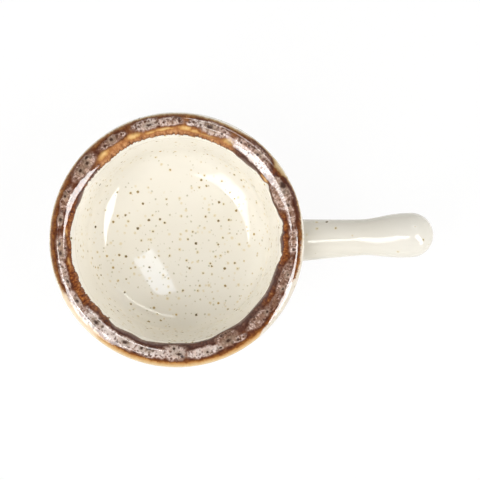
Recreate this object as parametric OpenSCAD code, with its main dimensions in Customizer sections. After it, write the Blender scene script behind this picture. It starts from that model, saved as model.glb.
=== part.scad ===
// Lug soup bowl: a stoneware bowl with a rolled lip and a hollow stick handle, glazed cream
// inside and out, with a thicker brown glaze band run over the lip.
// Millimetres. The bowl's axis is Z, the foot ring stands on Z = 0 and the handle points along +X.

/* [Bowl] */
// Diameter over the glazed lip
bowl_d = 140; // [130:1:160]
// Height to the top of the glazed lip
bowl_h = 64; // [56:1:76]
// Thickness of the clay wall
wall_t = 6; // [4.5:0.25:7]
// Thickness of the clay floor at its centre
floor_t = 7; // [5:0.5:9]
// Lean of the wall from upright, in degrees
wall_lean = 8; // [4:1:12]
// Inside radius where the wall turns into the floor
corner_r = 14; // [10:1:18]
// Radius of the shallow dish of the floor
dish_r = 600; // [400:50:1200]

/* [Lip] */
// Rounding of the lip on its outer side
lip_out_r = 4.5; // [4:0.25:6]
// Rounding of the lip on its inner side
lip_in_r = 8; // [6:0.25:9]
// Hollow rounding under the lip, where it meets the wall
lip_fillet_r = 4; // [3:0.25:6]

/* [Foot] */
// Outside diameter of the foot ring
foot_d = 86; // [80:1:92]
// Width of the foot ring
foot_w = 5; // [4:0.5:7]
// Height of the recess inside the foot ring, at its centre
foot_h = 3; // [2.5:0.5:6]
// Rounding of the foot ring's edges
foot_round = 1.2; // [0.5:0.1:1.8]

/* [Handle] */
// Depth below the lip's top at which the handle's axis leaves the wall
handle_drop = 27; // [25:1:30]
// Rise of the handle above level, in degrees
handle_rise = 11; // [4:1:14]
// Turn of the handle away from the bowl's radius, in degrees
handle_skew = 2.7; // [0:0.1:5]
// Sideways place of the handle's root on the wall
handle_y = -0.6; // [-2:0.1:2]
// Length along the axis from the wall to the centre of the round end
handle_reach = 70.5; // [64:0.5:90]
// Length along the axis from the wall to the narrowest place
neck_s = 43; // [34:1:46]
// Length of the swell from the narrowest place to the full round end
swell_l = 23; // [14:1:26]
// Radius of the clay handle near the wall
root_r = 11.8; // [10:0.1:12.5]
// Radius of the clay handle at its narrowest place
neck_r = 9.5; // [8:0.1:11]
// Radius of the clay handle's round end
bulb_r = 11.8; // [11:0.1:13]
// Thickness of the hollow handle's clay
handle_t = 4.5; // [3.5:0.25:5.5]
// Thickness of the slip that joins the handle to the wall
slip_t = 1; // [0.5:0.1:2]
// Diameter of the vent under the handle
vent_d = 2.5; // [2:0.1:4]
// Length along the axis from the wall to the vent
vent_s = 22; // [18:1:30]

/* [Glaze] */
// Thickness of the cream glaze
cream_t = 0.5; // [0.3:0.05:0.8]
// Thickness of the brown glaze over the lip
rim_t = 0.9; // [0.5:0.05:1.4]
// How far the brown band turns down inside from the top of the lip, in degrees
rim_turn = 48; // [30:1:70]
// How far the brown band wraps under the lip outside, in degrees below level
rim_wrap = 20; // [5:5:55]

/* [Hidden] */

clay_colour = [0.80, 0.70, 0.57];
slip_colour = [0.72, 0.62, 0.50];
cream_colour = [0.93, 0.90, 0.82];
brown_colour = [0.38, 0.19, 0.10];

// Steps of round outlines, in degrees, and number of steps along the handle's axis
arc_step = 6;
stick_n = 40;
// How the handle tapers from root to neck: 1 is straight, more is hollow
stick_taper = 1.2;
$fn = 120;

// Lip of the bare clay: its outermost radius, its top and the centres of its two roundings
clay_r = bowl_d / 2 - rim_t;
clay_h = bowl_h - rim_t;
lip_out_c = [clay_r - lip_out_r, clay_h - lip_out_r];
lip_in_c = [clay_r - lip_out_r, clay_h - lip_in_r];

// Directions in the half section: down along the wall, and square to it into the bowl
down = [-sin(wall_lean), -cos(wall_lean)];
inward = [-cos(wall_lean), sin(wall_lean)];

// Top ends of the straight wall, inside and outside
wall_in = lip_in_c + lip_in_r * inward;
wall_out = wall_in - wall_t * inward;

// Centres of the floor's dish, of the corner that runs into it, and of the rounding under the lip
dish_c = [0, foot_h + floor_t + dish_r];
corner_c = slide_to(wall_in + corner_r * inward, down, dish_c, dish_r - corner_r);
fillet_c = slide_to(wall_out - lip_fillet_r * inward, down, lip_out_c, lip_out_r + lip_fillet_r);

// Angles at which those arcs meet each other
dish_a = heading(corner_c - dish_c);
lip_end_a = heading(fillet_c - lip_out_c);

// Foot ring and the underside within it
foot_r = foot_d / 2;
foot_in_r = foot_r - foot_w;
belly_r = corner_r + wall_t;
under_r = dish_r + floor_t;
foot_a = -acos((foot_r - corner_c.x) / belly_r);

// Place where the handle's axis leaves the wall, and where its outline starts behind the wall
root_c = at_height(wall_out, bowl_h - handle_drop);
root_start = -(root_r * tan(wall_lean + handle_rise) + 2 * wall_t);

// Angle of a direction in the half section
function heading(v) = atan2(v.y, v.x);

// Point of the wall line through p that lies at height z
function at_height(p, z) = p + down * (p.y - z) / cos(wall_lean);

// Farther point of the line from p along the unit direction u that lies at distance d from q
function slide_to(p, u, q, d) =
    let (v = p - q, along = v * u)
    p + u * (sqrt(along * along - v * v + d * d) - along);

// Points of the arc about c with radius r, from angle a0 to angle a1
function arc(c, r, a0, a1) =
    let (n = max(1, ceil(abs(a1 - a0) / arc_step)))
    [for (i = [0:n]) let (a = a0 + (a1 - a0) * i / n) c + r * [cos(a), sin(a)]];

function reverse(points) = [for (i = [len(points) - 1:-1:0]) points[i]];

// Outlines of the clay's faces, moved off the clay by g

// Inside, from the floor's centre up to the brown band's edge
function inside_face(g) = concat(
    arc(dish_c, dish_r - g, -90, dish_a),
    arc(corner_c, corner_r - g, dish_a, -wall_lean),
    arc(lip_in_c, lip_in_r + g, 180 - wall_lean, 90 + rim_turn));

// Over the lip, from the brown band's inside edge to its outside edge
function lip_face(g) = concat(
    arc(lip_in_c, lip_in_r + g, 90 + rim_turn, 90),
    arc(lip_out_c, lip_out_r + g, 90, -rim_wrap));

// Outside, from the brown band's outside edge down to the foot ring
function outside_face(g) = concat(
    arc(lip_out_c, lip_out_r + g, -rim_wrap, lip_end_a),
    arc(fillet_c, lip_fillet_r - g, lip_end_a + 180, 180 - wall_lean),
    arc(corner_c, belly_r + g, -wall_lean, foot_a));

// Foot ring, from its outer side round the two rounded edges to its inner side
function foot_face() = concat(
    arc([foot_r - foot_round, foot_round], foot_round, 0, -90),
    arc([foot_in_r + foot_round, foot_round], foot_round, -90, -180));

// Underside within the foot ring, from its inner side to the centre
function recess_face(g) = arc(dish_c, under_r + g, -acos(foot_in_r / (under_r + g)), -90);

// Clay radius of the handle at length s along its axis
function ease(t) = t * t * (3 - 2 * t);
function stick_r(s) = s < neck_s
    ? neck_r + (root_r - neck_r) * pow(min(1, (neck_s - s) / neck_s), stick_taper)
    : neck_r + (bulb_r - neck_r) * ease(min(1, (s - neck_s) / swell_l));

// Outline of the handle as [radius, length along the axis], moved off the clay by g
function stick_line(g) = concat(
    [[0, root_start]],
    [for (i = [0:stick_n - 1])
        let (s = root_start + (handle_reach - root_start) * i / stick_n)
        [stick_r(s) + g, s]],
    arc([0, handle_reach], bulb_r + g, 0, 90));

// Everything within the bowl's outside face, moved off the clay by g
module bowl_bulk(g) {
    face = outside_face(g);
    rotate_extrude()
        polygon(concat(
            [[0, clay_h], [face[0].x, clay_h]],
            face,
            [[0, face[len(face) - 1].y]]));
}

// Band between two outlines of the half section
module turned_band(near, far) {
    rotate_extrude()
        polygon(concat(near, reverse(far)));
}

// Stands the handle's own axis, which is Z, where the handle leaves the wall
module on_handle_axis() {
    translate([root_c.x, handle_y, root_c.y])
        rotate([0, 0, handle_skew])
            rotate([0, 90 - handle_rise, 0])
                children();
}

module handle_solid(g) {
    on_handle_axis()
        rotate_extrude()
            polygon(stick_line(g));
}

module handle_hollow() {
    on_handle_axis()
        rotate_extrude()
            polygon(stick_line(-handle_t));
}

// Vent through the handle's lower side, from its axis to below the glaze
module vent() {
    on_handle_axis()
        translate([0, 0, vent_s])
            rotate([0, 90, 0])
                cylinder(d = vent_d, h = 2 * root_r);
}

// Jiggered stoneware bowl with its rolled lip and foot ring
module bowl_body() {
    color(clay_colour)
        rotate_extrude()
            polygon(concat(
                inside_face(0),
                lip_face(0),
                outside_face(0),
                foot_face(),
                recess_face(0)));
}

// Hollow cast handle, cut to the wall less the slip joint
module handle() {
    color(clay_colour)
        difference() {
            handle_solid(0);
            handle_hollow();
            vent();
            bowl_bulk(slip_t);
        }
}

// Slip that joins the handle's open end to the wall
module handle_slip() {
    color(slip_colour)
        difference() {
            intersection() {
                handle_solid(0);
                bowl_bulk(slip_t);
            }
            handle_hollow();
            bowl_bulk(0);
        }
}

// Cream glaze over the floor and the inside wall, up to the brown band
module inside_glaze() {
    color(cream_colour)
        turned_band(inside_face(0), inside_face(cream_t));
}

// Cream glaze from under the lip to the foot ring, left open round the handle
module outside_glaze() {
    color(cream_colour)
        difference() {
            turned_band(outside_face(0), outside_face(cream_t));
            handle_solid(cream_t);
        }
}

// Cream glaze on the underside within the foot ring
module recess_glaze() {
    color(cream_colour)
        turned_band(recess_face(0), recess_face(cream_t));
}

// Cream glaze over the handle, down to the wall
module handle_glaze() {
    color(cream_colour)
        difference() {
            handle_solid(cream_t);
            handle_solid(0);
            vent();
            bowl_bulk(0);
        }
}

// Brown glaze band over the lip
module rim_glaze() {
    color(brown_colour)
        turned_band(lip_face(0), lip_face(rim_t));
}

bowl_body();
handle();
handle_slip();
inside_glaze();
outside_glaze();
recess_glaze();
handle_glaze();
rim_glaze();
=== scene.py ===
# %% [markdown]
# # A stoneware soup bowl with a stick handle
# The bowl is one fired pot: clay, a slip joint at the handle, and coats of glaze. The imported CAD
# model gives the clay and the place of every coat. Here the coats are built again as dense skins,
# because a glaze that has run, pooled and broken over a lip has a relief that a turned CAD band
# lacks. Everything is in the CAD's own frame: the bowl's axis is Z, the handle points along +X.

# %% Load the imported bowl
import math
import bpy
import numpy as np
from mathutils import Matrix, Vector, noise


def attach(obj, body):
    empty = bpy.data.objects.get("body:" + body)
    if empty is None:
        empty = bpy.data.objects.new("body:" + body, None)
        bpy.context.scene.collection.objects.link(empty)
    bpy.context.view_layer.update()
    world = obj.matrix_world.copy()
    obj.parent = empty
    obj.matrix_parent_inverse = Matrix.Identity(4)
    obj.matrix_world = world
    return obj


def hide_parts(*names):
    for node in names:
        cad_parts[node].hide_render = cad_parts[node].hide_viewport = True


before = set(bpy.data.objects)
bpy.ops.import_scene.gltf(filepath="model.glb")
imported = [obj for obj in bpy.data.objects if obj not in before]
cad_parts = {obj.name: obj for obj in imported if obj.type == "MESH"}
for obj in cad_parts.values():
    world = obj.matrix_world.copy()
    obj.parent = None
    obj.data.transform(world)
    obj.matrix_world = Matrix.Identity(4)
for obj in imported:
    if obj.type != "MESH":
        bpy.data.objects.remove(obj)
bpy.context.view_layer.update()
MM = 0.001
print("nodes:", sorted(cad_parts))

# %% [markdown]
# ## The clay's half section
# A jiggered bowl is a turned shape, so its whole surface follows from one half section. Each coat
# lies on that line. The arcs are the same as in the CAD source: a shallow dish, a corner, a leaning
# wall, and a lip with a wide rounding inside and a tight one outside. Every point carries the
# direction that points out of the clay, so a coat is the line moved along it. A Screw modifier could
# spin such a line, but a coat needs its own thickness at each place, so the points stay numbers.

# %% Draw the half section
BOWL_R, BOWL_H, WALL, FLOOR, LEAN = 70.0, 64.0, 6.0, 7.0, 8.0
CORNER_R, DISH_R, FOOT_R, FOOT_W, RECESS_H = 14.0, 600.0, 43.0, 5.0, 3.0
LIP_IN_R, LIP_OUT_R, UNDER_LIP_R = 8.0, 4.5, 4.0
CREAM_T, BROWN_T = 0.5, 0.9
lean = math.radians(LEAN)
down = -np.array([math.sin(lean), math.cos(lean)])
inward = np.array([-math.cos(lean), math.sin(lean)])
crest_r = BOWL_R - BROWN_T - LIP_OUT_R
clay_h = BOWL_H - BROWN_T
lip_in_c = np.array([crest_r, clay_h - LIP_IN_R])
lip_out_c = np.array([crest_r, clay_h - LIP_OUT_R])
wall_in = lip_in_c + LIP_IN_R * inward
wall_out = wall_in - WALL * inward


def slide_to(p, u, q, d):
    """Farther point of the line from p along u that lies at distance d from q."""
    v = p - q
    along = v @ u
    return p + u * (math.sqrt(along * along - v @ v + d * d) - along)


dish_c = np.array([0.0, RECESS_H + FLOOR + DISH_R])
corner_c = slide_to(wall_in + CORNER_R * inward, down, dish_c, DISH_R - CORNER_R)
under_lip_c = slide_to(wall_out - UNDER_LIP_R * inward, down, lip_out_c, LIP_OUT_R + UNDER_LIP_R)
print("corner's centre", np.round(corner_c, 2), "hollow under the lip", np.round(under_lip_c, 2))

# %% Turn arcs into lines of points
ARC_FINE = 15.0


def arc_line(centre, radius, start, stop, side):
    """Rows of r, z and the clay's outward normal. side is 1 on a round face, -1 in a hollow."""
    count = max(3, int(abs(stop - start) * radius / ARC_FINE) + 2)
    a = np.radians(np.linspace(start, stop, count))
    ray = np.stack([np.cos(a), np.sin(a)], 1)
    return np.hstack([centre + radius * ray, side * ray])


def even_line(parts, step):
    """The joined arcs with points about step mm apart, and each point's length along the line."""
    line = np.vstack(parts)
    gap = np.linalg.norm(np.diff(line[:, :2], axis=0), axis=1)
    line = line[np.concatenate([[True], gap > 1e-6])]
    s = np.concatenate([[0], np.cumsum(np.linalg.norm(np.diff(line[:, :2], axis=0), axis=1))])
    t = np.linspace(0, s[-1], int(round(s[-1] / step)) + 1)
    line = np.stack([np.interp(t, s, line[:, k]) for k in range(4)], 1)
    line[:, 2:] /= np.linalg.norm(line[:, 2:], axis=1)[:, None]
    return line, t


def heading(v):
    """Direction of a vector in degrees."""
    return math.degrees(math.atan2(v[1], v[0]))


dish_a = heading(corner_c - dish_c)
lip_end_a = heading(under_lip_c - lip_out_c)
foot_a = -math.degrees(math.acos((FOOT_R - corner_c[0]) / (CORNER_R + WALL)))
recess_a = -math.degrees(math.acos((FOOT_R - FOOT_W) / (DISH_R + FLOOR)))
print("floor runs into the corner at", round(dish_a, 1), "degrees of the dish")

# %% [markdown]
# ## Skins of glaze
# A coat of glaze is a thin closed skin. One way is a Solidify modifier on a surface, but a coat that
# feathers out at its edge has no even thickness. So each skin is made as a ring of loops instead: out
# along the glaze's face and back just under the clay's face, so its hidden side is buried and its
# edges sink into the clay where they end.

# %% A closed skin from loops
BURIED, SUNK, CREASE = 0.15, -0.1, 60


def skin(name, loops, poles, node):
    """A closed mesh from loops[turn, place] in mm. With poles, both ends of each loop meet the axis."""
    turns, places = loops.shape[:2]
    i = np.arange(turns)[:, None]
    j = np.arange(places - 1 if poles else places)[None, :]
    index = np.arange(turns * places).reshape(turns, places)
    if poles:
        index[:, 0], index[:, -1] = 0, places - 1
    a, b = index[i, j], index[(i + 1) % turns, j]
    c, d = index[(i + 1) % turns, (j + 1) % places], index[i, (j + 1) % places]
    quads = np.stack([a, b, c, d], -1).reshape(-1, 4)
    p = loops.reshape(-1, 3) * MM
    tri = np.vstack([quads[:, [0, 1, 2]], quads[:, [0, 2, 3]]])
    volume = np.einsum("ij,ij->i", p[tri[:, 0]], np.cross(p[tri[:, 1]], p[tri[:, 2]])).sum() / 6
    if volume < 0:
        quads = quads[:, ::-1]
    used = np.unique(quads)
    place = np.full(len(p), -1)
    place[used] = np.arange(len(used))
    faces = [list(dict.fromkeys(q)) for q in place[quads].tolist()]
    mesh = bpy.data.meshes.new(name)
    mesh.from_pydata(p[used].tolist(), [], faces)
    mesh.shade_smooth()
    mesh.set_sharp_from_angle(angle=math.radians(CREASE))
    piece = bpy.data.objects.new(name, mesh)
    bpy.context.scene.collection.objects.link(piece)
    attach(piece, "root")
    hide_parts(node)
    print(f"{name}: {len(faces)} faces, {abs(volume) * 1e6:.2f} ml of glaze")
    return piece, used


print("a skin's hidden side lies", BURIED, "mm under the clay's face")

# %% Coats on the turned clay
def on_turned(line, coat, turns):
    """Places on a turned line, moved off the clay by coat mm."""
    angle = np.radians(np.arange(turns) * 360 / turns)[:, None]
    r, z = line[:, 0] + coat * line[:, 2], line[:, 1] + coat * line[:, 3]
    r, z = np.broadcast_to(r, (turns, len(line))), np.broadcast_to(z, (turns, len(line)))
    return np.stack([r * np.cos(angle), r * np.sin(angle), z], -1)


def back_rows(count, skip):
    """Rows of a coat's buried side: every skip-th one, from the end back to the start."""
    return np.unique(np.concatenate([np.arange(0, count, skip), [count - 1]]))[::-1]


def turned_loops(line, coat, turns, skip):
    """Loops of a coat on a turned line: out along its face and back along its buried side."""
    back = back_rows(len(line), skip)
    return np.concatenate([on_turned(line, coat, turns), on_turned(line[back], -BURIED, turns)], 1)


def soft_step(x, low, high):
    """0 below low and 1 above high, with a smooth rise between."""
    t = np.clip((x - low) / (high - low), 0, 1)
    return t * t * (3 - 2 * t)


def feathered(coat, share):
    """A coat that sinks into the clay where share falls to 0."""
    return SUNK + (coat - SUNK) * share


print("a coat's edge ends", -SUNK, "mm under the clay's face")

# %% [markdown]
# ## Unevenness
# Poured glaze is never dead even. A little smooth noise in its thickness makes the reflections waver
# as they do on a real pot. A Displace modifier could add it, but it would move the buried side too.
# The noise is read at places in space, so it has no seam where the turn closes, and it is the same on
# each run.

# %% Smooth noise over points
UNEVEN, SEED_STEP = 0.012, 17.3


def waver(points, size, seed):
    """Smooth noise from -1 to 1 at points in mm, with lumps about size mm across."""
    flat = np.asarray(points, float).reshape(-1, 3) / size + SEED_STEP * seed
    return np.array([noise.noise(p) for p in flat.tolist()]).reshape(np.shape(points)[:-1])


def cream_coat(line, turns):
    """Thickness of the cream glaze on a turned line."""
    return CREAM_T + UNEVEN * waver(on_turned(line, 0, turns), 16, 1)


print("cream glaze is", CREAM_T, "mm thick, give or take", UNEVEN)

# %% [markdown]
# ## Cream glaze on the bowl
# The cream coat covers the floor and the inside wall, the outside from under the lip to the foot
# ring, and the recess underneath. It is about half a millimetre thick. Inside and outside it ends
# under the rim's glaze. Below, it stops just above the foot, where it would stick to the kiln shelf,
# and there it gathers in a small bead. One skin all over would be quicker, but three of them can each
# feather out at an edge of their own. The outside coat stays open under the handle, so the handle's
# axis is worked out before it.

# %% Inside coat
def gathered(line, passes):
    """Extra coat where a melt evens out the hollows of a line, from its points' repeated means."""
    eased = line[:, :2].copy()
    for _ in range(passes):
        eased[1:-1] = (eased[:-2] + 2 * eased[1:-1] + eased[2:]) / 4
    return ((eased - line[:, :2]) * line[:, 2:]).sum(1)


floor_and_wall = [arc_line(dish_c, DISH_R, -90, dish_a, -1),
                  arc_line(corner_c, CORNER_R, dish_a, -LEAN, -1),
                  np.hstack([wall_in + 0.5 * down, inward])[None, :]]
inside_line, inside_s = even_line(floor_and_wall, 0.9)
TURNS, EASING = 300, 24
inside_coat = cream_coat(inside_line, TURNS) + gathered(inside_line, EASING)
to_end = inside_s[-1] - inside_s
inside_coat = feathered(inside_coat, soft_step(to_end, 0.3, 1.6))
inside_coat[:, 0] = inside_coat[:, 0].mean()
inside_glaze, _ = skin("inside_glaze_coat", turned_loops(inside_line, inside_coat, TURNS, 4), True,
                       "inside_glaze")

# %% Handle's axis, and the wall it meets
REACH, RISE, SKEW, HANDLE_Y, HANDLE_DROP = 70.5, 11.0, 2.7, -0.6, 27.0
ROOT_R, NECK_R, BULB_R, NECK_S, SWELL_L, TAPER = 11.8, 9.5, 11.8, 43.0, 23.0, 1.2
handle_z = BOWL_H - HANDLE_DROP
root_r = wall_out[0] + down[0] * (wall_out[1] - handle_z) / math.cos(lean)
root = np.array([root_r, HANDLE_Y, handle_z])
rise = math.radians(RISE)
skew = math.radians(SKEW)
along = np.array([math.cos(rise) * math.cos(skew), math.cos(rise) * math.sin(skew), math.sin(rise)])
aside = np.array([-math.sin(skew), math.cos(skew), 0.0])
upward = np.cross(along, aside)


def off_wall(p):
    """Distance in mm of points from the clay's outside face: the leaning wall, or the belly below."""
    r = np.hypot(p[..., 0], p[..., 1])
    cone = (r - wall_out[0]) * math.cos(lean) - (p[..., 2] - wall_out[1]) * math.sin(lean)
    x, z = r - corner_c[0], p[..., 2] - corner_c[1]
    return np.where(np.arctan2(z, x) < -lean, np.hypot(x, z) - CORNER_R - WALL, cone)


print("handle leaves the wall at radius", round(root_r, 2), "mm")

# %% Outside coat
wall_and_belly = [arc_line(lip_out_c, LIP_OUT_R, -14, lip_end_a, 1),
                  arc_line(under_lip_c, UNDER_LIP_R, lip_end_a + 180, 180 - LEAN, -1),
                  arc_line(corner_c, CORNER_R + WALL, -LEAN, foot_a, 1)]
outside_line, outside_s = even_line(wall_and_belly, 0.8)
BEAD_T, BEAD_UP, BEAD_W = 0.22, 1.6, 1.0
from_foot = outside_s[-1] - outside_s
bead = BEAD_T * np.exp(-((from_foot - BEAD_UP) / BEAD_W) ** 2)
outside_coat = cream_coat(outside_line, TURNS) + bead
outside_coat = feathered(outside_coat, soft_step(from_foot, 0.0, 0.8) * soft_step(outside_s, 0.2, 1.2))
outside_at = on_turned(outside_line, 0, TURNS)
from_axis = np.linalg.norm(np.cross(outside_at - root, along), axis=-1)
off_handle = soft_step(from_axis, ROOT_R - 1.5, ROOT_R - 0.3)
outside_coat = feathered(outside_coat, np.where(outside_at[..., 0] > 0, off_handle, 1.0))
outside_glaze, _ = skin("outside_glaze_coat", turned_loops(outside_line, outside_coat, TURNS, 4), False,
                        "outside_glaze")

# %% Coat in the foot's recess
recess_line, recess_s = even_line([arc_line(dish_c, DISH_R + FLOOR, -90, recess_a, 1)], 1.0)
RECESS_TURNS, BRUSHED = 160, 0.06
recess_at = on_turned(recess_line, 0, RECESS_TURNS)
recess_coat = cream_coat(recess_line, RECESS_TURNS) + BRUSHED * waver(recess_at, 7, 3)
recess_coat = feathered(recess_coat, soft_step(recess_s[-1] - recess_s, 0.0, 1.2))
recess_coat[:, 0] = recess_coat[:, 0].mean()
recess_glaze, _ = skin("recess_glaze_coat", turned_loops(recess_line, recess_coat, RECESS_TURNS, 3), True,
                       "recess_glaze")

# %% [markdown]
# ## Cream glaze on the handle
# The handle is a cast hollow stick, fixed to the wall with slip and sponged to a small hollow
# rounding. A boolean union would leave a hard crease there. Instead each lengthwise line of the skin
# ends in an arc that is tangent to the handle on one side and to the wall on the other, so the glaze
# flows from one onto the other.

# %% Handle's lengthwise line
def stick_r(s):
    """Clay radius of the handle at length s along its axis."""
    t = np.clip((s - NECK_S) / SWELL_L, 0, 1)
    back = np.clip((NECK_S - s) / NECK_S, 0, 1)
    return NECK_R + (ROOT_R - NECK_R) * back ** TAPER + (BULB_R - NECK_R) * t * t * (3 - 2 * t)


SIDES, FILLET = 160, 5.0
side = np.radians(np.arange(SIDES) * 360 / SIDES)[:, None]
side_ray = np.cos(side)[..., None] * aside + np.sin(side)[..., None] * upward


def at_handle(s, rho):
    """Points at length s along the handle's axis and distance rho from it, a row for each side line."""
    return root + s[..., None] * along + rho[..., None] * side_ray


def wall_length(rho):
    """Length along the axis at which the line at distance rho meets the coat on the wall."""
    low, high = np.full(rho.shape, -30.0), np.full(rho.shape, 30.0)
    for _ in range(40):
        mid = (low + high) / 2
        outside = off_wall(at_handle(mid, rho)) > CREAM_T
        low, high = np.where(outside, low, mid), np.where(outside, mid, high)
    return (low + high) / 2


print("handle's radius at root, neck and end:", stick_r(np.array([0.0, NECK_S, REACH])))

# %% Rounding at the handle's root
fillet_rho_c = np.full((SIDES, 1), ROOT_R + CREAM_T + FILLET)
for _ in range(4):
    slope = wall_length(fillet_rho_c + 0.5) - wall_length(fillet_rho_c - 0.5)
    fillet_s_c = wall_length(fillet_rho_c) + FILLET * np.sqrt(1 + slope ** 2)
    fillet_rho_c = stick_r(fillet_s_c) + CREAM_T + FILLET
wall_turn = np.arctan2(slope, -1.0) % (2 * math.pi)
turn = wall_turn + (1.5 * math.pi - wall_turn) * np.linspace(0, 1, 15)[None, :]
fillet_s = fillet_s_c + FILLET * np.cos(turn)
fillet_rho = fillet_rho_c + FILLET * np.sin(turn)
nearest, farthest = fillet_s_c.min(), fillet_s_c.max()
print(f"rounding starts {nearest:.1f} to {farthest:.1f} mm along the axis")

# %% Handle's skin, with the vent underneath
VENT_S, VENT_R, VENT_DEPTH = 22.0, 1.25, 2.8
DIVE, BUTT_DEPTH, HAND_MADE = 0.5, 3.0, 0.03
near_vent = np.linspace(0.1, 0.25, 30)
steps = np.unique(np.concatenate([np.linspace(0, 1, 70)[1:-1], near_vent]))[None, :]
stick_s = fillet_s_c + (REACH - fillet_s_c) * steps
end = np.radians(np.linspace(0, 90, 26))[None, :] + 0 * fillet_s_c
sink_rho = fillet_rho[:, :1] + 2 * DIVE
butt = wall_length(0 * fillet_s_c + ROOT_R) - BUTT_DEPTH
glaze_r = BULB_R + CREAM_T
buried_r = BULB_R - BURIED
loop_s = np.hstack([REACH + glaze_r * np.sin(end[:, ::-1]), stick_s[:, ::-1], fillet_s[:, ::-1],
                    wall_length(sink_rho) - DIVE, butt, stick_s, REACH + buried_r * np.sin(end)])
loop_rho = np.hstack([glaze_r * np.cos(end[:, ::-1]), stick_r(stick_s[:, ::-1]) + CREAM_T,
                      fillet_rho[:, ::-1], sink_rho, stick_r(butt) - BURIED, stick_r(stick_s) - BURIED,
                      buried_r * np.cos(end)])
handle_at = at_handle(loop_s, loop_rho)
hand_made = HAND_MADE * waver(handle_at, 15, 4) * soft_step(loop_s, 9, 20) * soft_step(loop_rho, 0.0, 6.0)
across = np.hypot(loop_s - VENT_S, loop_rho * np.cos(side))
vent = (1 - soft_step(across, 0.7 * VENT_R, 1.35 * VENT_R)) * (np.sin(side) < -0.5)
handle_at = handle_at + side_ray * (hand_made - VENT_DEPTH * vent)[..., None]
handle_glaze, _ = skin("handle_glaze_coat", handle_at, True, "handle_glaze")
print("vent of", 2 * VENT_R, "mm at", VENT_S, "mm from the wall")

# %% [markdown]
# ## Brown glaze over the lip
# The rim was dipped again, in a brown glaze that reacts with the cream one under it. In the kiln it
# melted, ran a little way down inside, broke to amber where it is thin, and gathered in milky pools
# along the top of the lip. As colour alone on the cream coat it would have no thickness, so it is a
# skin of its own. The band is laid out on the unrolled lip: the angle round the bowl, and a length v
# across it in mm, which is 0 on the crest, negative inside and positive outside.

# %% Unroll the lip
INNER_TURN, OUTER_TURN = LIP_IN_R + BROWN_T, LIP_OUT_R + BROWN_T
WALL_V = -INNER_TURN * math.radians(90 - LEAN)
RIM_TURNS, BAND_ROWS, BAND_IN, BAND_OUT, BAND_TUCK = 900, 86, -16.0, 11.5, 0.05
v_rows = np.linspace(BAND_IN, BAND_OUT, BAND_ROWS)
v_rows = np.concatenate([[BAND_IN - BAND_TUCK], v_rows, [BAND_OUT + BAND_TUCK]])


def lip_line(v):
    """Rows of r, z and normal of the clay's lip at lengths v across it, and of the wall below it."""
    a = math.pi / 2 - np.where(v < 0, np.maximum(v, WALL_V) / INNER_TURN, v / OUTER_TURN)
    ray = np.stack([np.cos(a), np.sin(a)], 1)
    inside = (v < 0)[:, None]
    place = np.where(inside, lip_in_c + LIP_IN_R * ray, lip_out_c + LIP_OUT_R * ray)
    return np.hstack([place + np.maximum(WALL_V - v, 0)[:, None] * down, ray])


rim_back = back_rows(len(v_rows), 6)
v = np.concatenate([v_rows, v_rows[rim_back]])[None, :]
turn_deg = (np.arange(RIM_TURNS) * 360 / RIM_TURNS)[:, None]
around = np.radians(turn_deg) + 0 * v
rim_place = np.stack([crest_r * np.cos(around), crest_r * np.sin(around), v + 0 * around], -1)
print("band of", RIM_TURNS, "by", len(v_rows), "places")

# %% Places round the rim
def degrees_off(place):
    """How far round the rim each turn lies from a place, -180 to 180."""
    return (turn_deg - place + 180) % 360 - 180


def along_rim(points):
    """A value all round the rim, easing from each given point, in degrees and mm, to the next."""
    places = np.array([p for p, _ in points] + [points[0][0] + 360.0])
    values = np.array([x for _, x in points] + [points[0][1]])
    k = np.clip(np.searchsorted(places, turn_deg, side="right") - 1, 0, len(points) - 1)
    t = soft_step(turn_deg, places[k], places[k + 1])
    return values[k] + (values[k + 1] - values[k]) * t


def stretch(start, stop, soft=6):
    """1 between two places round the rim, with soft ends."""
    off = np.abs(degrees_off((start + stop) / 2)) - (stop - start) / 2
    return 1 - soft_step(off, -soft, soft)


def lying(rows, at_deg, at_v):
    """How deep a place lies in the nearest of some long blots: 1 in a middle, 0 on an edge. Each blot
    has its place and half length in degrees, its v and its half width in mm."""
    best = np.full(np.broadcast(at_deg, at_v).shape, -9.0)
    which = np.zeros(best.shape, int)
    for k, (place, half, middle, wide, *_) in enumerate(rows):
        off = (at_deg - place + 180) % 360 - 180
        deep = 1 - np.sqrt((off / half) ** 2 + ((at_v - middle) / wide) ** 2)
        which = np.where(deep > best, k, which)
        best = np.maximum(best, deep)
    return best, which


print("a degree is", round(crest_r * math.radians(1), 2), "mm along the crest")
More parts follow.
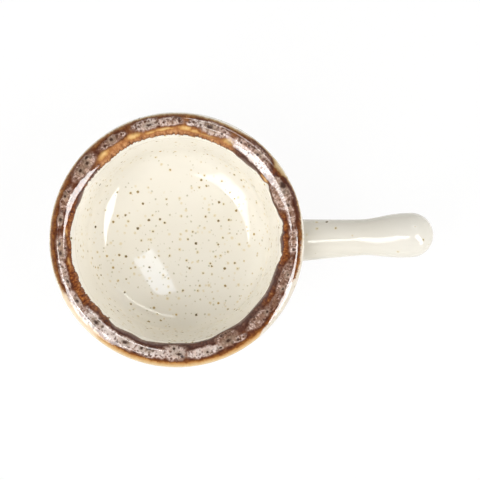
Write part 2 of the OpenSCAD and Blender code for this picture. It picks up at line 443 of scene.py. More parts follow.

# %% [markdown]
# The pools are listed one by one, because they are what the eye knows this rim by: noise alone
# would put them anywhere. Smooth noise then bends their outlines. The last number is how milky a pool
# is. Most pools have an eye, a dark spot where iron gathered.

# %% Milky pools
POOLS = [(0, 7, -0.8, 2.6, 0.55), (13, 6.5, -0.8, 2.7, 0.5), (22.5, 8.5, -2.7, 5.5, 0.6),
         (28.5, 4.5, -1.0, 2.6, 0.45), (46, 8.5, -0.8, 4.4, 0.6), (54, 7, -1.2, 3.2, 0.55),
         # The pool at 46 degrees, 3.6 mm inside the crest, is a painted highlight: a pale milky patch laid
         # under the lamps' reflection there to whiten it.
         (46, 13.5, -3.6, 2.5, 1.0), (71, 8, -0.8, 3.8, 0.65), (79, 6, 0.0, 2.2, 0.9),
         (93, 7, 0.1, 2.6, 0.7), (105, 7, 0.5, 3.4, 0.75), (123, 8, 0.0, 2.4, 0.5),
         (142, 8.5, -0.2, 4.0, 0.35), (160, 7.5, -0.3, 2.5, 0.45), (170, 4, -0.3, 2.0, 0.45),
         (184, 7, -1.6, 3.2, 0.5), (197, 9, -0.3, 2.4, 0.65), (211.5, 7, -0.2, 2.5, 0.7),
         (224, 8, -1.4, 4.0, 0.85), (235, 7, -1.6, 3.2, 1.0), (244.5, 7, -1.9, 3.4, 0.9),
         (255, 7, -1.7, 2.9, 0.85), (262, 4, -1.9, 2.8, 0.85), (269.5, 6.5, -3.2, 4.7, 0.8),
         (284, 10, -1.6, 2.8, 0.85), (297, 6.5, -4.4, 4.8, 0.35), (302.5, 4, -0.8, 1.8, 0.7),
         (316, 7.5, -2.2, 3.3, 0.6), (327.5, 6, -1.0, 2.3, 0.0), (340.5, 9, -2.0, 3.0, 0.55),
         (349.5, 3, -1.0, 1.2, 0.35)]
bent_deg = turn_deg + 1.0 * waver(rim_place, 4.0, 5) + 0.4 * waver(rim_place, 1.7, 6)
bent_v = v + 0.6 * waver(rim_place, 5.0, 7) + 0.25 * waver(rim_place, 1.8, 8)
pool, pool_which = lying(POOLS, bent_deg, bent_v)
milky = np.array([p[4] for p in POOLS])[pool_which]
EYES = [(17, 0.8, -0.6, 0.7), (27.2, 1.8, 0.7, 1.2), (46.2, 0.8, -0.4, 0.7), (73.3, 1.4, -0.4, 1.0),
        (103.5, 1.3, -0.2, 0.6), (123, 0.8, 0.6, 0.8), (137.6, 0.8, 2.0, 0.8), (139.5, 0.8, -0.4, 0.8),
        (144.3, 0.8, -0.1, 0.7), (158.5, 0.6, 0.7, 0.6), (170, 0.9, -0.4, 0.8), (182, 0.9, -0.7, 0.6),
        (186.7, 0.9, -1.0, 0.7), (200.9, 0.8, -1.1, 0.6), (211.8, 0.9, -1.1, 0.7), (225.7, 1.3, -1.7, 0.75),
        (243.2, 1.2, -2.0, 0.8), (252.2, 0.6, -2.5, 0.7), (256, 0.9, -3.4, 0.8), (268.7, 0.6, -5.1, 0.7),
        (271.3, 1.3, -2.1, 0.6), (272.8, 0.7, -0.7, 0.8), (285.5, 0.6, -1.0, 0.7), (292.2, 0.7, -0.9, 0.6),
        (297.3, 1.4, -2.6, 0.7), (321.5, 0.6, -1.3, 0.6), (335.2, 0.7, -0.5, 0.6), (342.5, 0.6, -0.7, 0.5)]
eye, _ = lying(EYES, turn_deg + 0.3 * waver(rim_place, 1.7, 6), v + 0.2 * waver(rim_place, 1.8, 8))
print(len(POOLS), "pools cover", round(100 * (pool[:, :len(v_rows)] > 0).mean()), "% of the band")

# %% Golden windows
WINDOWS = [(62, 4.8, -4.0, 2.6, 0.8), (80.5, 3.2, -4.6, 1.4, 0.6), (85, 4.6, -3.4, 1.9, 0.95),
           (96, 5.8, -3.7, 1.1, 0.85), (103.5, 3.2, -4.4, 1.2, 0.6), (112.5, 5.4, -3.4, 1.8, 0.9),
           (130.5, 4.8, -3.4, 2.1, 1.0), (73, 6, -5.4, 0.9, 0.4), (176.5, 2.6, -4.4, 1.1, 0.5),
           (192, 3.2, -5.0, 1.0, 0.35), (34, 4.5, -6.8, 1.1, 0.8)]
window, window_which = lying(WINDOWS, bent_deg, bent_v)
golden = np.array([w[4] for w in WINDOWS])[window_which]
print(len(WINDOWS), "windows")

# %% [markdown]
# The band's edges are listed too, as places in degrees and v in mm. Inside, the glaze ran down in
# lobes. Outside, the brown breaks to amber, and right of the near side the cream shows through. The
# margin is the width of the greyed glaze along the inner edge.

# %% Edges of the band
INNER_EDGE = [(0, -10.1), (5, -7.4), (9, -6.4), (15, -8.9), (22, -10.6), (27, -9.0), (31, -6.8), (35, -8.8),
              (40, -8.6), (48, -11.2), (53, -10.9), (58, -9.2), (64, -9.6), (80, -8.9), (92, -8.2),
              (108, -8.0), (120, -8.4), (128, -9.7), (140, -9.2), (149, -8.1), (158, -9.7), (165, -8.5),
              (177, -7.0), (183, -8.0), (192, -7.0), (200, -8.3), (204, -7.6), (216, -8.6), (221, -10.4),
              (226, -9.2), (228, -9.6), (234, -7.7), (244, -9.5), (252, -8.0), (262, -9.4), (271, -10.4),
              (280, -9.2), (288, -9.2), (297, -11.6), (308, -10.2), (319, -11.4), (331, -10.1),
              (340, -11.3), (345, -10.7), (349, -8.2), (352, -7.4), (356, -9.0)]
BROWN_EDGE = [(0, 3.9), (6, 3.8), (15, 4.7), (22, 5.3), (28, 4.5), (33, 2.1), (36, 1.9), (40, 4.2),
              (46, 5.0), (50, 5.0), (57, 3.5), (64, 2.9), (75, 3.3), (84, 3.8), (95, 4.0), (118, 4.0),
              (142, 4.5), (160, 4.3), (185, 4.4), (195, 4.1), (203, 3.3), (208, 2.4), (214, 1.9),
              (227, 1.9), (231, 2.0), (246, 2.3), (262, 2.2), (280, 2.4), (295, 2.7), (306, 2.7),
              (311, 3.0), (316, 3.4), (320, 3.3), (324, 2.9), (331, 2.7), (336, 1.4), (339, 2.1),
              (342, 3.9), (346, 4.1), (351, 4.0), (355, 3.9)]
MARGIN = [(0, 3.4), (6, 0.8), (14, 1.2), (22, 2.6), (29, 1.2), (34, 0.6), (48, 4.6), (58, 0.6), (132, 0.4),
          (141, 2.0), (149, 0.8), (158, 3.2), (166, 0.4), (214, 0.4), (221, 0.6), (229, 0.7), (236, 2.8),
          (244, 3.2), (256, 2.8), (266, 2.8), (284, 1.2), (297, 2.6), (308, 3.4), (318, 2.8), (328, 3.6),
          (340, 3.8), (351, 0.6), (356, 2.6)]
inner_edge, brown_edge = along_rim(INNER_EDGE), along_rim(BROWN_EDGE)
bare_lip = stretch(312, 345, 3)
amber_edge = (brown_edge + 1.8 + 3.7 * stretch(206, 311, 3) + 3.0 * stretch(31, 39, 2) - 1.3 * bare_lip
              - 0.5 * stretch(-10, 13, 4))
print("band runs from", round(inner_edge.min(), 1), "to", round(amber_edge.max(), 1), "mm")

# %% Rim's skin
from_inner, to_brown, to_amber = v - inner_edge, brown_edge - v, amber_edge - v
cream = cream_coat(lip_line(v_rows), RIM_TURNS)
OVERLAP, POOL_T, RIPPLE, EASE_IN = 0.015, 0.06, 0.03, 0.08
full = soft_step(from_inner, -1.2, 1.4) * soft_step(BAND_OUT + 0.5 - v, 1.0, 3.2)
rows = len(v_rows)
full = full[:, :rows]
rim_coat = cream + OVERLAP + (BROWN_T - cream) * full + POOL_T * soft_step(pool[:, :rows], 0.0, 0.6)
rim_coat = rim_coat + full * RIPPLE * waver(rim_place[:, :rows], 5.0, 9)
rim_coat = rim_coat - EASE_IN * (1 - soft_step(v_rows, BAND_IN - 0.2, BAND_IN + 1.1))
rim_coat[:, [0, -1]] = SUNK
rim_loops = np.concatenate([on_turned(lip_line(v_rows), rim_coat, RIM_TURNS),
                            on_turned(lip_line(v_rows[rim_back]), -BURIED, RIM_TURNS)], 1)
rim_glaze, rim_used = skin("rim_glaze_coat", rim_loops, False, "rim_glaze")

# %% [markdown]
# The finish has to know where it is on the lip. A UV map could say that, but here each vertex of the
# rim simply keeps its own values: how deep it lies in a pool, how far it is from each edge, and how
# much of each wash of colour it takes. The material reads them by name.

# %% Washes round the rim
olive = stretch(-18, 205, 8)
teeth = 0.15 + 0.5 * stretch(58, 150) + 0.5 * stretch(196, 232) + 0.15 * stretch(-12, 8)
below = soft_step(-v, 1.5, 3.5)
rust = below * np.maximum.reduce([stretch(163, 219, 4), stretch(345, 376, 4), 0.5 * stretch(323, 334, 2)])
sienna = np.maximum.reduce([below * stretch(58, 136, 4), 0.9 * stretch(83.5, 87.5, 1.5) + 0 * v,
                            0.7 * stretch(111.5, 115, 1.5) + 0 * v, 0.8 * stretch(58, 63, 2) + 0 * v])
umber = soft_step(v, 0.6, 2.8) * (1 - 0.7 * stretch(6, 32, 3))
arched = soft_step(v, 1.2, 3.2) * np.maximum(stretch(8, 34, 3), stretch(39, 52, 3))
dusk = below * np.maximum.reduce([stretch(233, 322, 3), stretch(334, 346, 3), stretch(37, 57, 3)])
peach = np.maximum(stretch(205, 230, 3), stretch(338, 358, 4))
veils = stretch(294, 352, 5)
# Painted shade: on the near right of the outer lip the cream is darkened against the lamps' bright
# reflection there.
bare = stretch(312, 352, 4) * soft_step(v, 2.0, 4.5)
print("rust lies on", round(100 * (rust[:, :rows] > 0.5).mean()), "% of the band")

# %% Values the rim remembers
remembered = {"rim_place": rim_place, "pool": pool, "milky": milky, "window": window, "golden": golden,
              "from_inner": from_inner, "to_brown": to_brown, "to_amber": to_amber, "eye": eye,
              "margin": along_rim(MARGIN), "olive": olive, "teeth": teeth, "rust": rust, "sienna": sienna,
              "dusk": dusk, "umber": umber, "arched": arched, "peach": peach, "veils": veils, "bare": bare}
places = rim_loops.shape[:2]
for name, values in remembered.items():
    values = np.broadcast_to(values, places + values.shape[2:])
    kind, field = ("FLOAT_VECTOR", "vector") if values.ndim == 3 else ("FLOAT", "value")
    values = values.reshape(places[0] * places[1], -1)[rim_used]
    kept = rim_glaze.data.attributes.new(name, kind, "POINT")
    kept.data.foreach_set(field, values.ravel().astype(np.float32))
print("rim remembers", len(remembered), "values for each vertex")

# %% [markdown]
# ## Working with nodes
# A few short helpers keep the materials readable: one adds a node and wires or fills its inputs, and
# the others are the sums, blends and ramps that each glaze needs. Colours are written as a painter
# would read them off a chart, 0 to 255, and turned into the linear values that shading uses. The same
# nodes could be wired by hand in the Shader Editor, but a script can be read and run again.

# %% Nodes, sums and blends
def tone(red, green, blue):
    """A chart colour as linear values."""
    values = [c / 255 for c in (red, green, blue)]
    return tuple(c / 12.92 if c <= 0.04045 else ((c + 0.055) / 1.055) ** 2.4 for c in values) + (1.0,)


def add(tree, kind, inputs=None, **settings):
    """A new node, with its inputs wired or filled."""
    made = tree.nodes.new(kind)
    for key, value in settings.items():
        setattr(made, key, value)
    for key, value in (inputs or {}).items():
        if isinstance(value, bpy.types.NodeSocket):
            tree.links.new(value, made.inputs[key])
        else:
            made.inputs[key].default_value = value
    return made


def calc(tree, how, a, b=0.0, c=0.0):
    """One step of arithmetic, on up to three values."""
    return add(tree, "ShaderNodeMath", {0: a, 1: b, 2: c}, operation=how).outputs[0]


def fade(tree, value, low, high):
    """0 below low and 1 above high, smooth between; the other way round where low is above high."""
    return add(tree, "ShaderNodeMapRange", {"Value": value, "From Min": low, "From Max": high},
               interpolation_type="SMOOTHSTEP").outputs[0]


def blend(tree, amount, a, b):
    """Colour a at amount 0, colour b at 1."""
    return add(tree, "ShaderNodeMix", {0: amount, 6: a, 7: b}, data_type="RGBA").outputs[2]


print("cream glaze, linear:", [round(c, 3) for c in tone(235, 228, 212)])

# %% Ramps, clouds and finishes
BUMP_DEPTH = 0.0003


def ramp(tree, value, *stops):
    """Colours along a value, each stop a position and a tone."""
    made = add(tree, "ShaderNodeValToRGB", {"Fac": value})
    bar = made.color_ramp.elements
    while len(bar) < len(stops):
        bar.new(0.5)
    for mark, (position, colour) in zip(bar, stops):
        mark.position, mark.color = position, tone(*colour)
    return made.outputs["Color"]


def cloud(tree, vector, scale, detail=3.0, rough=0.5, bent=0.0):
    """Smooth noise from 0 to 1."""
    return add(tree, "ShaderNodeTexNoise", {"Vector": vector, "Scale": scale, "Detail": detail,
                                            "Roughness": rough, "Distortion": bent}).outputs["Fac"]


def stretched(tree, vector, x, y, z):
    return add(tree, "ShaderNodeVectorMath", {0: vector, 1: (x, y, z)}, operation="MULTIPLY").outputs[0]


def shifted(tree, vector, x, y, z):
    return add(tree, "ShaderNodeVectorMath", {0: vector, 1: (x, y, z)}, operation="ADD").outputs[0]


def new_finish(name):
    """A new material, its nodes and its shader."""
    finish = bpy.data.materials.new(name)
    finish.use_nodes = True
    return finish, finish.node_tree, finish.node_tree.nodes["Principled BSDF"]


def dress(tree, shader, colour, height, bumpy, rough):
    """Wires a colour and a bump into a shader, and sets how rough it is."""
    tree.links.new(colour, shader.inputs["Base Color"])
    bump = add(tree, "ShaderNodeBump", {"Height": height, "Strength": bumpy, "Distance": BUMP_DEPTH})
    tree.links.new(bump.outputs[0], shader.inputs["Normal"])
    shader.inputs["Roughness"].default_value = rough


print("bumps are up to", round(BUMP_DEPTH / MM, 2), "mm deep")

# %% [markdown]
# ## Specks
# Iron grains in the clay melt up through the cream glaze as brown dots, some with a yellow halo, and
# many small faint ones. A Voronoi texture gives each grain its own cell. The cells lie in space, so
# the glaze's face cuts some grains through the middle and some near the edge, which gives the mixed
# sizes without a list of dots. In the cream, cells are counted per metre.

# %% Grains in the glaze
FAINT_CELLS, BROWN_CELLS, EDGE_CELLS, EDGE_WARP = 400, 300, 1300.0, 0.0007
SPECKS_LEAN = (1.3, -0.7, 0.0)


def grains(tree, vector, cells, small, large, share, soft=0.03):
    """Mask of round grains, cells per unit, radii in parts of a cell, and a random value per grain."""
    made = add(tree, "ShaderNodeTexVoronoi", {"Vector": vector, "Scale": cells})
    lot = add(tree, "ShaderNodeSeparateColor", {"Color": made.outputs["Color"]})
    radius = calc(tree, "MULTIPLY_ADD", lot.outputs[0], large - small, small)
    inside = fade(tree, calc(tree, "SUBTRACT", radius, made.outputs["Distance"]), -soft, soft)
    kept = calc(tree, "LESS_THAN", lot.outputs[1], share)
    return calc(tree, "MULTIPLY", inside, kept), lot.outputs[2], made.outputs["Distance"], kept


def cream_glaze(tree, share, dim, light):
    """Colour and bump height of a cream glaze between two tones, with a share of its grains."""
    place = add(tree, "ShaderNodeTexCoord").outputs["Object"]
    base = ramp(tree, cloud(tree, place, 26, 2), (0.3, dim), (0.7, light))
    rough_edge = add(tree, "ShaderNodeTexNoise", {"Vector": place, "Scale": EDGE_CELLS, "Detail": 1.0})
    warp = add(tree, "ShaderNodeVectorMath",
               {0: rough_edge.outputs["Color"], 1: (EDGE_WARP,) * 3, 2: place},
               operation="MULTIPLY_ADD").outputs[0]
    leaning = add(tree, "ShaderNodeVectorMath", {0: place, 1: SPECKS_LEAN}, operation="DOT_PRODUCT")
    patchy = cloud(tree, shifted(tree, place, 0.02, 0.05, 0.0), 24, 1)
    crowd = calc(tree, "ADD", patchy, leaning.outputs["Value"])
    crowd = calc(tree, "MULTIPLY", fade(tree, crowd, 0.2, 0.62), share)
    faint, faint_lot, _, _ = grains(tree, warp, FAINT_CELLS, 0.08, 0.24, crowd, 0.1)
    base = blend(tree, calc(tree, "MULTIPLY", faint, 0.75), base,
                 ramp(tree, faint_lot, (0.2, (192, 184, 150)), (0.6, (184, 178, 150)),
                      (0.9, (206, 186, 138))))
    brown, brown_lot, off, kept = grains(tree, shifted(tree, warp, 0.3, 0.1, 0.2), BROWN_CELLS, 0.05, 0.23,
                                         calc(tree, "MULTIPLY", crowd, 0.7), 0.05)
    halo = calc(tree, "MULTIPLY", calc(tree, "MULTIPLY", fade(tree, off, 0.38, 0.14), kept), 0.45)
    base = blend(tree, halo, base, tone(214, 190, 112))
    base = blend(tree, calc(tree, "MULTIPLY", brown, 0.92), base,
                 ramp(tree, brown_lot, (0.1, (66, 50, 20)), (0.4, (100, 78, 34)), (0.65, (136, 110, 56)),
                      (0.95, (180, 146, 76))))
    pits = calc(tree, "MULTIPLY", brown, -0.35)
    height = calc(tree, "MULTIPLY_ADD", cloud(tree, place, 210, 2), 0.012, pits)
    return base, height


print("specks crowd towards", SPECKS_LEAN)

# %% Cream glaze on its coats
def speckled_cream(name, *glaze):
    """A finish of cream glaze, from its share of grains and its two tones."""
    finish, tree, shader = new_finish(name)
    colour, height = cream_glaze(tree, *glaze)
    dress(tree, shader, colour, height, 0.12, 0.02)
    shader.inputs["Specular IOR Level"].default_value = 0.2
    return finish


BOWL_CREAM = (0.95, (237, 232, 220), (243, 239, 229))
# The handle's cream is the bowl's glaze painted in darker tones, as painted shade that holds back the
# stronger light on the handle; it also has fewer grains.
HANDLE_CREAM_SHADED = (0.12, (222, 217, 205), (228, 224, 214))
cream_bowl = speckled_cream("cream_glaze_bowl", *BOWL_CREAM)
cream_handle_shaded = speckled_cream("cream_glaze_handle_shaded", *HANDLE_CREAM_SHADED)
for piece in (inside_glaze, outside_glaze, recess_glaze):
    piece.data.materials.append(cream_bowl)
handle_glaze.data.materials.append(cream_handle_shaded)
print("cream glaze on 4 coats")

# %% [markdown]
# ## Finish of the rim
# The rim's colours follow how thick the glaze lies: dark brown where it is full, amber where it is
# drawn thin over an edge, grey-brown where it thins out over the cream, and lilac where it pooled and
# went milky. The remembered values say where each of these is, and noise that is drawn out across
# the lip makes the edges run in fine teeth, as glaze does when it flows. A painted image could hold
# the same, but noise stays sharp from near by, and one tone can be changed without the others.

# %% Noise for the rim
rim_finish, rim, rim_shader = new_finish("brown_glaze_rim")


def recalled(name, vector=False):
    """A value that the rim's vertices remember."""
    made = add(rim, "ShaderNodeAttribute", attribute_name=name)
    return made.outputs["Vector" if vector else "Fac"]


at = recalled("rim_place", True)
across_lip = add(rim, "ShaderNodeSeparateXYZ", {0: at}).outputs["Z"]
streaks = cloud(rim, stretched(rim, at, 1.0, 1.0, 0.36), 0.58, 3, 0.62, 0.5)
mottle = cloud(rim, at, 0.36, 3, 0.55)
fine = cloud(rim, shifted(rim, at, 9, 5, 2), 0.62, 1, 0.5)
veil = stretched(rim, shifted(rim, at, 3, 8, 6), 1.0, 1.0, 0.6)
veil = cloud(rim, veil, 0.55, 2, 0.5, 0.4)


def unsettled(value, pattern, amount):
    """A value moved up and down by a noise pattern."""
    return calc(rim, "MULTIPLY_ADD", calc(rim, "SUBTRACT", pattern, 0.5), amount, value)


def times(value, *others):
    """The product of some values."""
    for other in others:
        value = calc(rim, "MULTIPLY", value, other)
    return value


def washed(under, amount, colour):
    """The ground with a colour over it, as far as amount says."""
    return blend(rim, amount, under, colour)


print("noise for the rim has", len(rim.nodes), "nodes")

# %% Brown ground of the rim
inner_d = unsettled(recalled("from_inner"), fine, 0.8)
inner_d = unsettled(inner_d, streaks, times(recalled("teeth"), 9.0))
brown_d = unsettled(unsettled(recalled("to_brown"), streaks, 4.2), fine, 1.2)
amber_d = unsettled(recalled("to_amber"), streaks, 1.6)
grain = unsettled(mottle, streaks, 0.9)
ground = ramp(rim, grain, (0.25, (68, 31, 16)), (0.45, (98, 50, 26)), (0.62, (126, 70, 36)),
              (0.85, (160, 100, 56)))
rusty = ramp(rim, unsettled(fine, streaks, 1.3), (0.22, (80, 34, 11)), (0.45, (124, 63, 22)),
             (0.65, (160, 94, 38)), (0.85, (192, 132, 70)))
tawny = ramp(rim, unsettled(mottle, streaks, 1.0), (0.25, (144, 86, 46)), (0.5, (186, 125, 75)),
             (0.75, (216, 163, 110)))
dusky = ramp(rim, grain, (0.25, (58, 30, 22)), (0.5, (84, 48, 36)), (0.75, (112, 74, 60)))
earthy = ramp(rim, unsettled(grain, fine, 0.5), (0.25, (84, 38, 8)), (0.5, (122, 67, 16)),
              (0.75, (154, 101, 40)))
for name, depth, colour in (("rust", 0.9, rusty), ("sienna", 0.85, tawny), ("dusk", 0.9, dusky),
                            ("umber", 0.85, earthy), ("arched", 0.8, tone(70, 26, 5))):
    ground = washed(ground, times(recalled(name), depth), colour)
print("ground of the rim has", len(rim.nodes), "nodes")

# %% Windows and margin of the rim
window_at = unsettled(unsettled(recalled("window"), mottle, 1.0), streaks, 0.6)
deep_gold = ramp(rim, window_at, (0.0, (140, 82, 42)), (0.3, (170, 112, 58)), (0.8, (190, 136, 78)))
pale_gold = ramp(rim, window_at, (0.0, (162, 104, 58)), (0.3, (196, 142, 82)), (0.6, (216, 172, 108)),
                 (0.95, (230, 194, 134)))
gold = blend(rim, recalled("golden"), deep_gold, pale_gold)
ground = washed(ground, fade(rim, window_at, -0.5, 0.35), gold)
toothed = times(fade(rim, inner_d, 2.8, 0.2), fade(rim, recalled("teeth"), 0.15, 0.5))
ground = washed(ground, times(toothed, 0.85),
                ramp(rim, streaks, (0.32, (72, 40, 22)), (0.5, (122, 74, 42)), (0.68, (166, 114, 72))))
low_rust = times(fade(rim, inner_d, 2.2, 0.2), recalled("rust"), 0.6)
ground = washed(ground, low_rust, tone(106, 54, 25))
margin_at = unsettled(calc(rim, "DIVIDE", inner_d, recalled("margin")), mottle, 1.0)
greyed = ramp(rim, margin_at, (0.0, (150, 128, 112)), (0.25, (130, 106, 95)), (0.6, (106, 80, 72)),
              (0.95, (76, 43, 35)))
at_margin = times(fade(rim, margin_at, 1.25, 0.8), fade(rim, recalled("margin"), 0.3, 1.2))
ground = washed(ground, at_margin, greyed)
print("rim so far has", len(rim.nodes), "nodes")

# %% [markdown]
# Where the melt stood deep it went milky: palest just inside a pool's edge, duller in the middle, with
# a dark ring round it. Each pool could be a mask of its own, but two ramps over the remembered depth,
# a dull and a pale one, do them all. Iron then breaks through the milk in veins, curds and specks.

# %% Milky pools of the rim
outer_half = fade(rim, across_lip, 0.0, 1.6)
pool_at = unsettled(unsettled(recalled("pool"), fine, 0.25), mottle, 0.6)
pool_at = unsettled(pool_at, streaks, calc(rim, "MULTIPLY_ADD", outer_half, 0.35, 0.08))
ringed = calc(rim, "MULTIPLY_ADD", recalled("sienna"), -0.35, 0.62)
ground = washed(ground, times(fade(rim, pool_at, -0.5, -0.1), ringed), tone(66, 31, 18))
milk = unsettled(unsettled(recalled("milky"), fine, 0.3), mottle, 0.9)
dull = ramp(rim, pool_at, (0.0, (152, 110, 89)), (0.2, (216, 189, 175)), (0.4, (203, 171, 153)),
            (0.7, (182, 147, 125)), (1.0, (164, 127, 103)))
pale = ramp(rim, pool_at, (0.0, (172, 138, 121)), (0.2, (220, 201, 192)), (0.5, (226, 212, 205)),
            (0.9, (210, 194, 184)))
milk_colour = blend(rim, fade(rim, milk, 0.4, 1.0), dull, pale)
in_pool = fade(rim, pool_at, -0.22, 0.28)
ground = washed(ground, in_pool, milk_colour)
veiled = unsettled(unsettled(veil, streaks, 0.5), recalled("milky"), -0.26)
veiled = calc(rim, "MULTIPLY_ADD", times(outer_half, recalled("olive")), 0.06, veiled)
veiled = calc(rim, "MULTIPLY_ADD", recalled("veils"), 0.1, veiled)
ground = washed(ground, times(fade(rim, veiled, 0.47, 0.62), in_pool, 0.85),
                ramp(rim, fine, (0.35, (94, 58, 42)), (0.6, (134, 96, 74))))
print("rim so far has", len(rim.nodes), "nodes")

# %% Iron specks in the pools
veins = cloud(rim, shifted(rim, at, 2, 4, 8), 0.42, 2, 0.55, 0.4)
veins = calc(rim, "ABSOLUTE", calc(rim, "SUBTRACT", veins, 0.5))
veins = times(fade(rim, veins, 0.05, 0.0), in_pool, fade(rim, recalled("milky"), 1.3, 0.2))
ground = washed(ground, times(veins, 0.75), tone(98, 60, 43))
curds = times(fade(rim, unsettled(fine, veil, -0.6), 0.58, 0.7), in_pool)
ground = washed(ground, times(curds, 0.75), tone(98, 62, 45))
for cells, small, large, share, depth, colour in ((0.48, 0.14, 0.38, 0.7, 0.75, (88, 56, 40)),
                                                  (0.32, 0.14, 0.32, 0.8, 0.9, (62, 36, 25))):
    spots, *_ = grains(rim, shifted(rim, at, 31 * cells, 7, 3), cells, small, large, share, 0.1)
    ground = washed(ground, times(spots, in_pool, depth), tone(*colour))
beads, *_ = grains(rim, shifted(rim, at, 4, 9, 1), 0.5, 0.26, 0.5, 0.85, 0.1)
beads = times(beads, fade(rim, pool_at, 0.95, 0.5), fade(rim, across_lip, -1.6, -0.2))
ground = washed(ground, times(beads, in_pool, 0.9), tone(80, 42, 22))
eye_at = unsettled(recalled("eye"), fine, 0.8)
eye_ring = times(fade(rim, eye_at, -3.4, -0.8), in_pool, 0.45)
ground = washed(ground, eye_ring, tone(158, 138, 119))
ground = washed(ground, times(fade(rim, eye_at, -0.6, 0.4), 0.94), tone(58, 34, 24))
print("rim so far has", len(rim.nodes), "nodes")

# %% [markdown]
# Outside, the brown is drawn thin over the lip and breaks to amber before the cream begins. A sharp
# mask would look like tape, so the tones follow the distance to the edge on ramps, and the cream comes
# in under them with the same grains as on the bowl. On the near right of the outer lip that cream is
# painted darker, as shade against the lamps' bright reflection there.

# %% Amber edge, and the cream beyond it
edge_at = unsettled(unsettled(times(recalled("to_brown"), -1.0), streaks, -1.6), mottle, 1.8)
edge_at = times(edge_at, 0.18)
amber = ramp(rim, edge_at, (0.0, (124, 72, 34)), (0.12, (178, 124, 64)), (0.4, (206, 168, 113)),
             (0.7, (222, 195, 151)), (1.0, (236, 219, 190)))
tan_edge = ramp(rim, edge_at, (0.0, (112, 70, 38)), (0.12, (160, 124, 78)), (0.4, (198, 172, 128)),
                (0.8, (224, 210, 180)))
amber = blend(rim, recalled("olive"), amber, tan_edge)
amber = blend(rim, times(recalled("peach"), 0.65), amber, tone(247, 231, 207))
ground = washed(ground, fade(rim, brown_d, 0.7, -0.7), amber)
cream_colour, cream_height = cream_glaze(rim, *BOWL_CREAM)
# Painted shade: the cream on the near right of the outer lip is darkened towards a grey tan.
cream_colour = washed(cream_colour, times(recalled("bare"), 0.65), tone(208, 196, 178))
covered = times(fade(rim, inner_d, -0.5, -0.05), fade(rim, amber_d, -0.6, 0.8))
rim_colour = blend(rim, covered, cream_colour, ground)
dress(rim, rim_shader, rim_colour, unsettled(cream_height, mottle, 1.0), 0.1, 0.04)
rim_shader.inputs["IOR"].default_value = 1.5
rim_shader.inputs["Specular IOR Level"].default_value = 0.38
rim_glaze.data.materials.append(rim_finish)
print("rim's finish has", len(rim.nodes), "nodes")

# %% [markdown]
# ## Bare clay
# Only the foot ring and the joint inside the handle show clay. Fired stoneware is a warm buff with
# fine sand and a few dark grains, and it is matt. The slip is the same clay, stirred to a cream, so
# it is finer and a little darker. The CAD solids have the right shape already, so they only get a
# finish each.

# %% Stoneware and slip
def bare_clay(name, light, dark, sand):
    """A matt finish between two tones, with sand in grains per metre."""
    finish, tree, shader = new_finish(name)
    place = add(tree, "ShaderNodeTexCoord").outputs["Object"]
    grain = cloud(tree, place, sand, 4, 0.65)
    colour = ramp(tree, grain, (0.3, dark), (0.7, light))
    spots, *_ = grains(tree, place, 600, 0.08, 0.2, 0.5, 0.05)
    colour = blend(tree, calc(tree, "MULTIPLY", spots, 0.7), colour, tone(96, 74, 54))
    dress(tree, shader, colour, grain, 0.5, 0.82)
    return finish


clay = bare_clay("stoneware_bare", (206, 184, 152), (176, 152, 120), 1500)
slip = bare_clay("joining_slip_bare", (190, 168, 138), (164, 142, 112), 2600)
clay_finish = {"bowl_body": clay, "handle": clay, "handle_slip": slip}
for name, finish in clay_finish.items():
    for part_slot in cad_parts[name].material_slots:
        part_slot.material = finish
print("clay on", ", ".join(clay_finish))

# %% [markdown]
# ## Floor and light
# The floor is a wide white sheet that rises at its edge, as in a photo studio: a plain plane would
# end in a hard horizon. Its finish mixes matt white with a white that only the camera and mirror-like
# reflections see, so it stays white while the bowl's shadow still shows.

# %% Studio floor
SWEEP_TURNS = 96
SWEEP = [(0.0, 0.0), (1.5, 0.0), (3.2, 0.0), (3.7, 0.06), (4.2, 0.26), (4.6, 0.62), (4.85, 1.1),
         (4.95, 1.8)]
ring = np.radians(np.arange(SWEEP_TURNS) * 360 / SWEEP_TURNS)
verts = [(0.0, 0.0, 0.0)] + [(r * math.cos(a), r * math.sin(a), z) for r, z in SWEEP[1:] for a in ring]
faces = [(0, 1 + k, 1 + (k + 1) % SWEEP_TURNS) for k in range(SWEEP_TURNS)]
for row in range(len(SWEEP) - 2):
    low = 1 + row * SWEEP_TURNS
    high = low + SWEEP_TURNS
    for k in range(SWEEP_TURNS):
        after = (k + 1) % SWEEP_TURNS
        faces.append((low + k, high + k, high + after, low + after))
floor_mesh = bpy.data.meshes.new("studio_floor")
floor_mesh.from_pydata(verts, [], faces)
floor_mesh.shade_smooth()
floor = bpy.data.objects.new("studio_floor", floor_mesh)
bpy.context.scene.collection.objects.link(floor)
print("floor", 2 * SWEEP[-1][0], "m across")

# %% White paper
SEEN_WHITE = 0.9
paper, paper_tree, _ = new_finish("studio_paper")
paper_tree.nodes.remove(paper_tree.nodes["Principled BSDF"])
path = add(paper_tree, "ShaderNodeLightPath").outputs
seen = calc(paper_tree, "MAXIMUM", path["Is Camera Ray"], path["Is Glossy Ray"])
seen = calc(paper_tree, "MAXIMUM", seen, path["Is Transmission Ray"])
matt = add(paper_tree, "ShaderNodeBsdfDiffuse", {"Color": (0.95, 0.95, 0.94, 1)})
white = add(paper_tree, "ShaderNodeEmission", {"Color": (1, 1, 1, 1), "Strength": 1.0})
seen = calc(paper_tree, "MULTIPLY", seen, SEEN_WHITE)
mixed = add(paper_tree, "ShaderNodeMixShader", {0: seen, 1: matt.outputs[0], 2: white.outputs[0]})
paper_tree.links.new(mixed.outputs[0], paper_tree.nodes["Material Output"].inputs["Surface"])
floor_mesh.materials.append(paper)
print("paper shows", SEEN_WHITE, "of its own white")

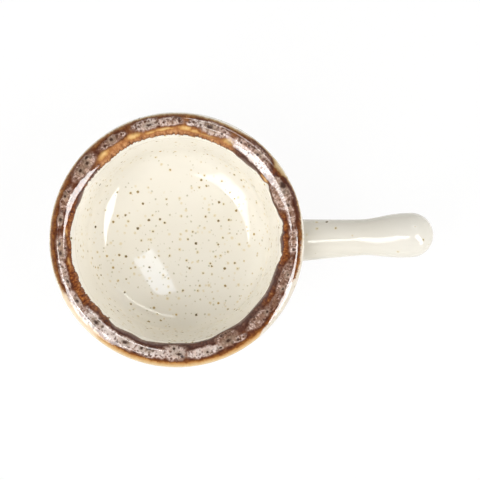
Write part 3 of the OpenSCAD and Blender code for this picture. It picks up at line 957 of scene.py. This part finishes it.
# %% [markdown]
# The gloss of a glaze mirrors the lamps, while its body only shows how much light falls on it. One set
# of lamps could do both, but then a moved reflection would change the tone of the whole pot. So four
# soft boxes light the body, and five others show only in the gloss, as long white reflections, a cool
# patch on the bowl's floor and a streak on the handle.

# %% A soft box
AIM = Vector((0.0, 0.0, 0.05))
NEARER = 0.02


def soft_box(name, upper, lower, wide, brightness, use, tint=(1.0, 1.0, 1.0)):
    """A long rectangle of light between the middles of its upper and lower edge, facing the bowl, to be
    used for the glaze's body or for its gloss. A gloss lamp hangs a little nearer, clear of the others."""
    upper, lower = Vector(upper), Vector(lower)
    place = (upper + lower) / 2
    up = (upper - lower).normalized()
    side = up.cross(Vector((0, 0, 1))).normalized()
    back = side.cross(up)
    if back.dot(AIM - place) > 0:
        side, back = -side, -back
    high = (upper - lower).length
    data = bpy.data.lights.new(f"{name}_{use}", "AREA")
    data.shape = "RECTANGLE"
    data.size = wide
    data.size_y = high
    data.energy = brightness * math.pi * wide * high
    data.color = tint
    lamp = bpy.data.objects.new(f"{name}_{use}", data)
    lamp.matrix_world = Matrix((side, up, back)).transposed().to_4x4()
    lamp.location = place if use == "body" else place - NEARER * back
    lamp.visible_camera = False
    lamp.visible_diffuse = use == "body"
    lamp.visible_glossy = use == "gloss"
    bpy.context.scene.collection.objects.link(lamp)
    print(f"{name}: {wide} by {high:.2f} m for the {use}, {(place - AIM).length:.2f} m from the bowl")


print("soft boxes face", tuple(round(c, 2) for c in AIM))

# %% Lamps and room
soft_box("soft_box_left", (-0.4, 0.0, 1.6), (-1.6, -1.92, 0.48), 0.66, 3.65, "body")
soft_box("soft_box_right", (0.8, -0.16, 1.6), (2.16, -1.68, 0.56), 0.46, 4.3, "body")
soft_box("soft_box_west", (-1.2, 0.1, 1.3), (-1.9, 0.1, 0.5), 1.3, 1.35, "body")
soft_box("soft_box_east", (1.2, 0.1, 1.3), (1.9, 0.1, 0.5), 1.3, 2.1, "body")
soft_box("gleam_left", (-0.375, -0.095, 1.58), (-1.62, -1.26, 0.72), 0.38, 16.0, "gloss")
soft_box("gleam_near", (-0.22, -0.2, 1.58), (-1.2, -1.5, 0.84), 0.3, 13.0, "gloss")
soft_box("gleam_right", (0.792, -0.066, 1.58), (2.092, -1.646, 0.54), 0.58, 24.0, "gloss")
soft_box("gleam_far", (0.587, 1.2, 1.54), (0.67, 1.37, 1.34), 1.3, 13.0, "gloss")
soft_box("gleam_top", (-0.024, 0.092, 1.6), (0.012, 0.022, 1.6), 0.036, 10.5, "gloss", (0.8, 0.95, 1.2))
world = bpy.data.worlds.new("studio_room")
bpy.context.scene.world = world
world.use_nodes = True
room = world.node_tree.nodes["Background"].inputs
room["Color"].default_value = (1.0, 0.99, 0.97, 1)
room["Strength"].default_value = 0.4

# %% [markdown]
# ## Camera
# The photo looks straight down, so the camera hangs over the bowl and needs no turn. A camera without
# perspective would be simpler, but a long lens from over a metre up still shows a little depth: the
# bowl's floor and the handle lie lower than the lip, and look slightly smaller.

# %% Camera
CAMERA_UP, FIELD, SENSOR = 1.1, 0.2620, 36.0
CAMERA_X, CAMERA_Y = 0.0347, -0.0001
camera_data = bpy.data.cameras.new("top_camera")
camera_data.sensor_width = SENSOR
camera_data.lens = SENSOR * CAMERA_UP / FIELD
camera_data.clip_end = 30.0
camera = bpy.data.objects.new("top_camera", camera_data)
camera.location = (CAMERA_X, CAMERA_Y, BOWL_H * MM + CAMERA_UP)
bpy.context.scene.collection.objects.link(camera)
bpy.context.scene.camera = camera
bpy.context.scene.view_settings.view_transform = "Standard"
print("lens", round(camera_data.lens, 1), "mm")
